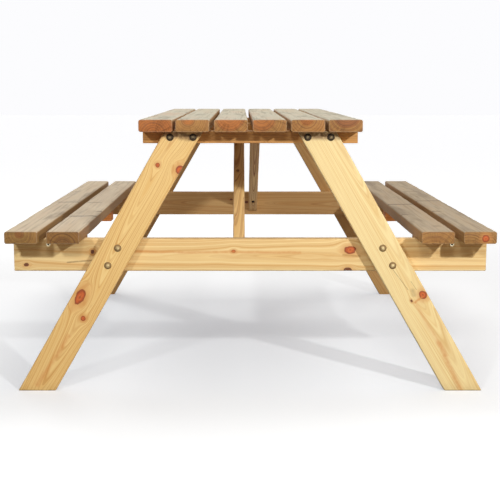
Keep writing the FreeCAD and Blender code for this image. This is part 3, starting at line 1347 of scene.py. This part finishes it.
@dataclass
class Nut(Fastener):
    """A hexagon nut with chamfered corners."""

    across_flats: float = 0.013
    height: float = 0.0065
    clearance: float = 0.00005
    chamfer: float = 0.0009

    def shape(self, bm: bmesh.types.BMesh) -> list[bmesh.types.BMVert]:
        """Add one nut that starts at the origin.

        Args:
            bm: Where it is added.

        Returns:
            Its corners.
        """
        corner = self.across_flats / math.sqrt(3)
        inner, soft = BOLT_RADIUS + self.clearance, self.chamfer
        outline = [
            (0.0, inner), (0.0, corner * 0.9), (soft * 0.6, corner), (self.height - soft, corner),
            (self.height, corner * 0.87), (self.height, inner + 0.0006), (self.height - 0.0006, inner),
            (0.0, inner),
        ]
        verts = turned(bm, outline, self.steps)
        for v in verts:
            radius = math.hypot(v.co.x, v.co.y)
            sector = (math.atan2(v.co.y, v.co.x) % (math.pi / 3)) - math.pi / 6
            flat = self.across_flats / 2 / math.cos(sector)
            if radius > flat:
                v.co.x *= flat / radius
                v.co.y *= flat / radius
        return verts


@dataclass
class WoodScrew(Fastener):
    """A wood screw with a star-shaped recess in its head."""

    steps: int = 12
    length: float = 0.055
    shank: float = 0.00225
    head: float = 0.0045
    head_height: float = 0.003
    flanged: bool = False
    pitch: float = 0.0026
    point: float = 0.006
    star: float = 0.72

    def shape(self, bm: bmesh.types.BMesh) -> list[bmesh.types.BMVert]:
        """Add one screw, with the timber's surface at the origin and its point along +Z.

        Args:
            bm: Where it is added.

        Returns:
            Its corners.
        """
        recess = self.head * 0.5
        if self.flanged:
            crown = -self.head_height
            outline = [
                (crown + 0.0024, 0.0), (crown + 0.0024, recess), (crown, recess * 1.06),
                (crown, self.head * 0.80), (crown * 0.82, self.head * 0.92),
                (crown * 0.45, self.head * 0.985), (crown * 0.12, self.head), (0.0, self.head * 0.98),
                (0.0, self.shank),
            ]
        else:
            outline = [
                (0.0019, 0.0), (0.0019, recess), (0.0, recess * 1.06), (0.0, self.head * 0.96),
                (0.0003, self.head), (self.head_height, self.shank),
            ]
        smooth = self.head_height + self.length * 0.35
        outline += [(smooth, self.shank)]
        outline += ridges(smooth + 0.0005, self.length - 0.007, self.shank, self.pitch, self.shank * 0.25)
        outline += [(self.length - self.point, self.shank * 0.7), (self.length, 0.0)]
        verts = turned(bm, outline, self.steps)
        for v in verts:
            radius = math.hypot(v.co.x, v.co.y)
            near_head = v.co.z < self.head_height * 0.9
            odd = round(math.atan2(v.co.y, v.co.x) / (math.tau / self.steps)) % 2
            if near_head and 0 < radius < recess * 1.1 and odd:
                v.co.x *= self.star
                v.co.y *= self.star
        if self.flanged:
            soil(bm, verts, -self.head_height, None, recess * 1.05)
        else:
            soil(bm, verts, 0.0, self.head * 1.25, recess * 1.05)
        return verts


@dataclass(frozen=True)
class ZincFinish:
    """Zinc-plated steel that has been outdoors: clean and tarnished plating, darkened per corner by painted
    shade on a dome's outer slope and in a head's recess, and by dirt on the shank.
    """

    name: str
    bright: Colour
    dull: Colour
    # The colour of the painted shade and of the dirt.
    grime_and_shade: Colour
    rough: float

    def material(self) -> bpy.types.Material:
        """Build the material.

        Returns:
            The finished material.
        """
        r = Recipe(bpy.data.materials.new(self.name))
        place = r.node("ShaderNodeTexCoord", output="Object")
        # Painted shade on a dome's outer slope and in a head's recess, and dirt on the shank, from the
        # per-corner attribute.
        shade_and_dirt = r.node("ShaderNodeAttribute", {"attribute_name": "soil"}, output="Fac")
        tarnish = r.cloud(place, (180.0, 180.0, 180.0), 3.0, detail=3.0, rough=0.6)
        specks = r.cloud(place, (900.0, 900.0, 900.0), 8.0, detail=2.0, rough=0.6)
        colour = r.blend(tarnish.rise(0.40, 0.60), self.bright, self.dull)
        colour = r.blend(specks.rise(0.62, 0.72) * 0.4, colour, RUST)
        colour = r.blend(shade_and_dirt, colour, self.grime_and_shade)
        r.set_socket(r.shader.inputs["Metallic"], 0.9 - shade_and_dirt * 0.7)
        r.finish(colour, self.rough + tarnish * 0.2 + shade_and_dirt * 0.3, specks * 0.5 + tarnish * 0.5, 0.00006)
        return r.owner


BOLT_ZINC = ZincFinish(
    "coach_bolt_zinc", stain(200, 182, 138), stain(154, 134, 96), stain(136, 110, 70), 0.42)
# A darker copy of the bolt plating: painted shade for the bolts under the tabletop's overhang and for the
# screws down in their holes.
SHADED_ZINC = ZincFinish(
    "zinc_in_painted_shade", stain(120, 106, 80), stain(74, 60, 42), stain(46, 34, 22), 0.45)
SCREW_ZINC = ZincFinish(
    "wood_screw_zinc", stain(236, 228, 200), stain(206, 190, 150), stain(44, 30, 18), 0.32)


@dataclass
class Fasteners:
    """Every bolt, washer, nut and screw of the table."""

    bolt_rise: float = 0.024
    cleat_bolt_drop: float = 0.015
    cleat_bolt_middle: float = 0.185
    cleat_bolt_half: float = 0.031
    beam_bolt_length: float = 0.080
    cleat_bolt_length: float = 0.110
    top_screw_spreads: tuple[float, ...] = (0.025, 0.036, 0.025)
    seat_screw_spread: float = 0.022
    batten_screw_drop: float = 0.015
    brace_screw_drop: float = 0.017

    def bolt_places(self) -> tuple[list[Place], list[Place]]:
        """Read the places of the bolts from the frame's own timbers.

        Returns:
            Each bolt's x, end and height: first the beams' bolts, then the cleats'.
        """
        leg_low, leg_high = corners("leg_front_right")
        beam_low, beam_high = corners("seat_beam_front")
        spread = (leg_high.x - leg_low.x) - leg_high.z * math.tan(LEG_SPLAY)
        foot = leg_high.x - spread / 2
        beam, cleat = [], []
        for end in End:
            for side in Side:
                for step in (-1, 1):
                    z = (beam_low.z + beam_high.z) / 2 + step * self.bolt_rise
                    beam.append((side.value * (foot - math.tan(LEG_SPLAY) * z), end.value, z))
                    x = side.value * (self.cleat_bolt_middle + step * self.cleat_bolt_half)
                    cleat.append((x, end.value, leg_high.z - self.cleat_bolt_drop))
        return beam, cleat

    def bolted(
        self, name: str, places: list[Place], inner: float, length: float, metal: bpy.types.Material
    ) -> None:
        """Make one family of bolts with its washers and nuts.

        Args:
            name: What the family joins.
            places: Each bolt's x, end and height.
            inner: Distance from the table's middle to the timber's inner face.
            length: The bolts' length.
            metal: Their material.
        """
        outer = -corners("leg_front_right")[0].y
        washer = Washer(f"{name}_washers")
        heads, rings, nuts = [], [], []
        for x, end, z in places:
            inward = ALONG * -end
            heads.append(Spot(Vector((x, end * outer, z)), inward))
            rings.append(Spot(Vector((x, end * inner, z)), inward))
            nuts.append(Spot(Vector((x, end * (inner - washer.thickness), z)), inward))
        CoachBolt(f"{name}_bolts", length=length).build(heads, metal)
        washer.build(rings, metal)
        Nut(f"{name}_nuts").build(nuts, metal)

    def build(self) -> None:
        """Make all the fasteners."""
        beam, cleat = self.bolt_places()
        metal = BOLT_ZINC.material()
        dark = SHADED_ZINC.material()
        beam_back = -corners("seat_beam_front")[1].y
        cleat_back = -corners("tabletop_cleat_front")[1].y
        self.bolted("leg_to_beam", beam, beam_back, self.beam_bolt_length, metal)
        # The bolts under the tabletop's overhang take the darker plating, as painted shade.
        self.bolted("leg_to_cleat", cleat, cleat_back, self.cleat_bolt_length, dark)
        bright = SCREW_ZINC.material()
        self.board_screws(bright)
        self.frame_screws(bright, dark)

    def pair(self, under: str, board: str, spread: float) -> list[Spot]:
        """Place two screws that go up through a cleat or a batten into one board.

        Args:
            under: The cleat or batten.
            board: The board.
            spread: How far each screw is from the board's middle line.

        Returns:
            Where they start.
        """
        low, high = corners(under)
        middle = sum(corner[0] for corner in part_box(board)) / 2
        return [
            Spot(Vector((middle + step * spread, (low.y + high.y) / 2, low.z)), UP) for step in (-1, 1)]

    def board_screws(self, metal: bpy.types.Material) -> None:
        """Drive the screws up through the cleats and battens into the boards.

        Args:
            metal: Their plating.
        """
        top, seats = [], []
        for place, spread in zip(PLACES, self.top_screw_spreads):
            for number in range(1, len(Tabletop.boards) + 1):
                top += self.pair(f"tabletop_cleat_{place}", f"tabletop_board_{number}", spread)
        for side in ("left", "right"):
            for place in PLACES:
                for row in ("outer", "inner"):
                    board = f"seat_board_{side}_{row}"
                    seats += self.pair(f"seat_batten_{side}_{place}", board, self.seat_screw_spread)
        WoodScrew("tabletop_screws").build(top, metal)
        WoodScrew("seat_screws").build(seats, metal)

    def frame_screws(self, metal: bpy.types.Material, dark: bpy.types.Material) -> None:
        """Drive the screws through the beams into the end battens, and at both ends of each brace.

        Args:
            metal: The plating of the screws in the open.
            dark: The darker copy of the plating, painted shade for the screws down in their holes.
        """
        beam_low, beam_high = corners("seat_beam_front")
        cleat_high = corners("tabletop_cleat_middle")[1]
        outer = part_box("seat_board_right_outer")[0][0]
        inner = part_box("seat_board_right_inner")[1][0]
        battens, feet, heads = [], [], []
        for end in End:
            out = ALONG * end.value
            for side in Side:
                x = side.value * (outer + inner) / 2
                start = Vector((x, end.value * -beam_low.y, beam_high.z - self.batten_screw_drop))
                battens.append(Spot(start, -out))
            low, high = corners(f"brace_{end.name.lower()}")
            middle = (low.x + high.x) / 2
            seat = Vector((middle, end.value * screw_seat(low, high), BRACE_SCREW_HEIGHT))
            feet.append(Spot(seat, out))
            start = Vector((middle, -end.value * cleat_high.y, cleat_high.z - self.brace_screw_drop))
            heads.append(Spot(start, out))
        kinds = (
            ("batten_to_beam_screws", 0.080, SCREW_FLANGE, battens, metal),
            ("brace_to_beam_screws", 0.090, 0.0055, feet, dark),
            ("brace_to_cleat_screws", 0.100, SCREW_FLANGE, heads, metal),
        )
        for node, length, head, spots, plating in kinds:
            WoodScrew(node, length=length, shank=0.003, head=head, flanged=True).build(spots, plating)


# ---------------------------------------------------------------------------
# Studio
# ---------------------------------------------------------------------------


@dataclass(frozen=True)
class Lamp:
    """One soft round lamp."""

    name: str
    place: tuple[float, float, float]
    size: float
    watts: float
    aim: tuple[float, float, float] = (0.0, -0.3, 0.4)

    def hang(self) -> None:
        """Add the lamp to the scene."""
        light = bpy.data.lights.new(self.name, "AREA")
        light.shape = "DISK"
        light.size = self.size
        light.energy = self.watts
        light.color = (1.0, 0.98, 0.94)
        lamp = bpy.data.objects.new(self.name, light)
        lamp.location = self.place
        beam = Vector(self.aim) - Vector(self.place)
        lamp.rotation_euler = beam.to_track_quat("-Z", "Y").to_euler()
        lamp.visible_camera = False
        bpy.context.scene.collection.objects.link(lamp)


@dataclass
class Studio:
    """The pale floor, the lamps and the camera."""

    floor_half: float = 30.0
    lens: float = 76.5
    stand: tuple[float, float, float] = (-0.028, -3.579, 0.832)
    tilt: float = 0.1511
    shift: float = 0.02
    fill: Colour = (0.44, 0.31, 0.19)
    low_fill: float = 0.45
    left_fill: float = 0.35
    floor_paint: Colour = (0.64, 0.67, 0.70)
    near_glow: Colour = (0.35, 0.39, 0.44)
    far_glow: Colour = (0.73, 0.78, 0.84)
    glow_from: float = 0.8
    glow_to: float = 4.5
    lamps: tuple[Lamp, ...] = (
        Lamp("right_key", (1.61, -3.1, 1.68), 0.12, 56.0),
        Lamp("left_key", (-1.28, -3.3, 1.72), 0.22, 26.0),
        Lamp("front_key", (-0.1, -3.9, 2.1), 0.6, 16.0),
        Lamp("back", (-1.8, 3.6, 2.0), 1.4, 24.0),
        Lamp("overhead", (0.1, 0.7, 3.2), 2.2, 44.0, (0.0, 0.2, 0.0)),
    )

    def floor(self) -> None:
        """Lay a plain floor."""
        bm = bmesh.new()
        bmesh.ops.create_grid(bm, x_segments=8, y_segments=8, size=self.floor_half)
        mesh = bpy.data.meshes.new("studio_floor")
        bm.to_mesh(mesh)
        bm.free()
        r = Recipe(bpy.data.materials.new("studio_floor_paint"))
        place = r.node("ShaderNodeTexCoord", output="Object")
        patches = r.cloud(place, (0.7, 0.7, 0.7), 2.0, detail=2.0)
        colour = r.blend(patches * 0.06, self.floor_paint, (0.5, 0.5, 0.5))
        r.finish(colour, 0.75, None, 0.0)
        r.set_socket(r.shader.inputs["Specular IOR Level"], 0.1)
        reach = r.node("ShaderNodeVectorMath", {"operation": "LENGTH"}, {0: place}, "Value")
        away = reach.rise(self.glow_from, self.glow_to)
        r.set_socket(r.shader.inputs["Emission Color"], r.blend(away, self.near_glow, self.far_glow))
        r.set_socket(r.shader.inputs["Emission Strength"], 1.0)
        mesh.materials.append(r.owner)
        floor = bpy.data.objects.new("studio_floor", mesh)
        bpy.context.scene.collection.objects.link(floor)
        floor.visible_diffuse = False

    def light(self) -> None:
        """Light the table from the front on both sides and from above, in a bright room."""
        world = bpy.data.worlds.new("studio_air")
        bpy.context.scene.world = world
        world.cycles.sampling_method = "NONE"
        r = Recipe(world)
        matte = r.node("ShaderNodeLightPath", output="Is Diffuse Ray")
        side, _, height = r.split(r.node("ShaderNodeTexCoord", output="Generated"))
        low = tuple(c * self.low_fill for c in self.fill)
        soft = r.blend(height.rise(-0.6, 0.0), low, self.fill)
        dim = r.blend(1.0, soft, (self.left_fill,) * 3, "MULTIPLY")
        soft = r.blend(side.rise(-0.7, 0.3), dim, soft)
        r.set_socket(r.shader.inputs["Color"], r.blend(matte, BRIGHT_AIR, soft))
        r.set_socket(r.shader.inputs["Strength"], 1.0)
        for lamp in self.lamps:
            lamp.hang()

    def camera(self) -> None:
        """Stand the camera in front of the table, a little above the tabletop."""
        data = bpy.data.cameras.new("view")
        data.sensor_width = 36.0
        data.lens = self.lens
        data.shift_x = self.shift
        camera = bpy.data.objects.new("view", data)
        camera.location = self.stand
        camera.rotation_euler = (math.pi / 2 - self.tilt, 0.0, 0.0)
        bpy.context.scene.collection.objects.link(camera)
        bpy.context.scene.camera = camera

    def build(self) -> None:
        """Set the studio up."""
        self.floor()
        self.light()
        self.camera()
        view = bpy.context.scene.view_settings
        view.view_transform = "Standard"
        view.look = "None"


def benches() -> list[Bench]:
    """Describe the left and the right bench.

    Returns:
        The two benches.
    """
    left = Bench(
        Side.LEFT,
        top=stain(202, 192, 170),
        outer=Figure(
            (0.001, 0.010), (0.01, 0.015), BENCH_END, ring=0.0048, heart=0.012, seed=11.1,
            tint=(0.82, 0.91, 0.80),
            marks=(
                scar((-0.038, 0.019), (-0.030, -0.046), 0.0133, 0.90),
                scar((0.31, 0.046), (0.32, 0.010), 0.0114, 0.76))),
        inner=Figure(
            (0.0, -0.022), (0.0, 0.02), BENCH_END, ring=0.0055, seed=12.7, tint=(0.70, 0.69, 0.52),
            marks=(
                scar((-0.432, 0.029), (-0.424, -0.046), 0.0152, 0.90),
                scar((-0.052, 0.030), (-0.046, -0.004), 0.0114, 0.76),
                scar((-0.30, -0.030), (-0.296, -0.046), 0.0171, 0.76))),
    )
    right = Bench(
        Side.RIGHT,
        top=stain(166, 156, 135),
        outer=Figure(
            (0.02, -0.06), (0.0, 0.02), BENCH_END, ring=0.0052, seed=14.3, tint=(0.98, 1.04, 1.0),
            knots=(Knot(-0.779, -0.0145, 0.0104, depth=-0.002),),
            marks=(
                scar((0.0, 0.046), (0.008, -0.031), 0.0152, 0.90),
                scar((-0.30, 0.046), (-0.305, 0.022), 0.0133, 0.81),
                scar((0.33, 0.030), (0.34, -0.012), 0.0114, 0.66))),
        inner=Figure(
            (0.01, -0.05), (0.01, 0.02), BENCH_END, ring=0.0052, seed=15.9, tint=(0.97, 0.98, 0.92),
            marks=(
                scar((-0.112, 0.046), (-0.104, -0.040), 0.0171, 0.90),
                scar((-0.661, -0.012), (-0.661, -0.022), 0.0114, 0.81),
                scar((-0.40, 0.046), (-0.39, 0.028), 0.0152, 0.76))),
    )
    return [left, right]


def end_frames() -> list[EndFrame]:
    """Describe the front and the rear end frame.

    Returns:
        The two end frames.
    """
    front = EndFrame(
        End.FRONT,
        left_leg=Figure(
            pith=(0.004, -0.006), lean=(0.015, 0.030), ring=0.0034, seed=40.0, tint=(1.0, 0.96, 0.84),
            knots=(
                Knot(-0.121, 0.0237, 0.0135, reach=1.85), Knot(-0.170, -0.0125, 0.0068, reach=1.1),
                Knot(0.301, 0.0168, 0.0062, reach=1.1), Knot(0.3196, -0.042, 0.0125, reach=1.1)),
            marks=(
                Mark((-0.235, -0.002), (-0.40, 0.006), 0.011, RESIN, 0.55),
                # Painted shadow of the tabletop's overhang across the leg's top.
                Mark((0.4275, -0.0459), (0.3745, 0.0459), 0.016, STREAK_AND_SHADE, 0.85, 0.4),
                # Painted contact shadow along the leg's foot.
                Mark((-0.3875, -0.0459), (-0.4405, 0.0459), 0.0045, SCAR_AND_SHADE, 0.7))),
        right_leg=Figure(
            pith=(-0.030, -0.022), lean=(-0.03, 0.02), ring=0.0036, seed=42.0, tint=(1.03, 1.12, 1.20),
            faint=0.55,
            knots=(Knot(-0.1198, -0.0327, 0.0105, reach=1.2), Knot(-0.1187, 0.0027, 0.0032, KnotKind.DEAD)),
            marks=(
                Mark((-0.018, 0.005), (-0.087, -0.004), 0.0010, SPLIT, 0.6, 0.6, 0.8),
                Mark((-0.070, -0.022), (-0.098, -0.024), 0.0010, SPLIT, 0.5, 0.6, 0.8),
                Mark((-0.125, -0.004), (-0.300, -0.006), 0.009, RESIN, 0.35),
                Mark((-0.260, -0.006), (-0.415, 0.006), 0.012, RESIN, 0.55),
                Mark((-0.128, -0.004), (-0.124, -0.026), 0.005, RESIN, 0.8),
                Mark((-0.093, -0.0125), (-0.106, -0.0105), 0.010, SCAR_AND_SHADE, 0.35),
                # Painted shadow of the tabletop's overhang across the leg's top.
                Mark((0.4275, 0.0459), (0.3745, -0.0459), 0.016, STREAK_AND_SHADE, 0.85, 0.4),
                # Painted contact shadow along the leg's foot.
                Mark((-0.4405, -0.0459), (-0.3875, 0.0459), 0.0045, SCAR_AND_SHADE, 0.7))),
        beam=Figure(
            pith=(-0.004, -0.040), lean=(0.003, 0.004), ring=0.0036, seed=44.0, faint=0.75,
            knots=(
                Knot(-0.0456, 0.0101, 0.0045), Knot(0.2754, 0.014, 0.0115, reach=1.5),
                Knot(0.2708, -0.0420, 0.0075, KnotKind.DEAD, 1.6),
                Knot(-0.6184, -0.0271, 0.005, KnotKind.DEAD),
                Knot(-0.435, 0.0090, 0.0055, KnotKind.DEAD, 0.9)),
            marks=(
                Mark((-0.318, 0.009), (0.138, 0.007), 0.006, RESIN, 0.6),
                Mark((-0.505, -0.021), (-0.425, -0.014), 0.0035, STREAK_AND_SHADE, 0.7),
                Mark((0.256, -0.001), (0.300, -0.005), 0.005, stain(168, 128, 70), 0.6))),
        brace=Figure(
            pith=(0.012, -0.030), ring=0.0030, seed=46.0, tint=(0.98, 0.86, 0.68),
            knots=(Knot(0.055, 0.004, 0.005, KnotKind.DEAD),)),
    )
    # The rear legs and beam are tinted darker as painted shade, since they stand in the table's shade.
    rear = EndFrame(
        End.REAR,
        left_leg=Figure(
            pith=(0.010, -0.05), lean=(0.02, 0.03), ring=0.0036, seed=50.0, tint=(0.66, 0.55, 0.43)),
        right_leg=Figure(
            pith=(-0.010, -0.04), ring=0.0036, seed=52.0, tint=(0.66, 0.55, 0.43),
            knots=(Knot(0.287, 0.0307, 0.006, KnotKind.DEAD),)),
        beam=Figure(
            pith=(0.0, -0.05), lean=(0.005, 0.012), ring=0.0038, seed=54.0, tint=(0.70, 0.58, 0.47),
            knots=(Knot(-0.002, -0.0046, 0.005, KnotKind.DEAD), Knot(-0.063, -0.0156, 0.004, KnotKind.DEAD))),
        brace=Figure(pith=(0.0, -0.04), seed=56.0, tint=(1.1, 1.02, 0.9)),
    )
    return [front, rear]


def main() -> None:
    """Build the table and its studio."""
    logging.basicConfig(level=logging.INFO, format="%(name)s: %(message)s")
    timbers = Tabletop().timbers()
    for bench in benches():
        timbers += bench.timbers()
    for end_frame in end_frames():
        timbers += end_frame.timbers()
    for timber in timbers:
        timber.build()
    Fasteners().build()
    Studio().build()
    log.info("%d timbers", len(timbers))


if __name__ == "__main__":
    main()
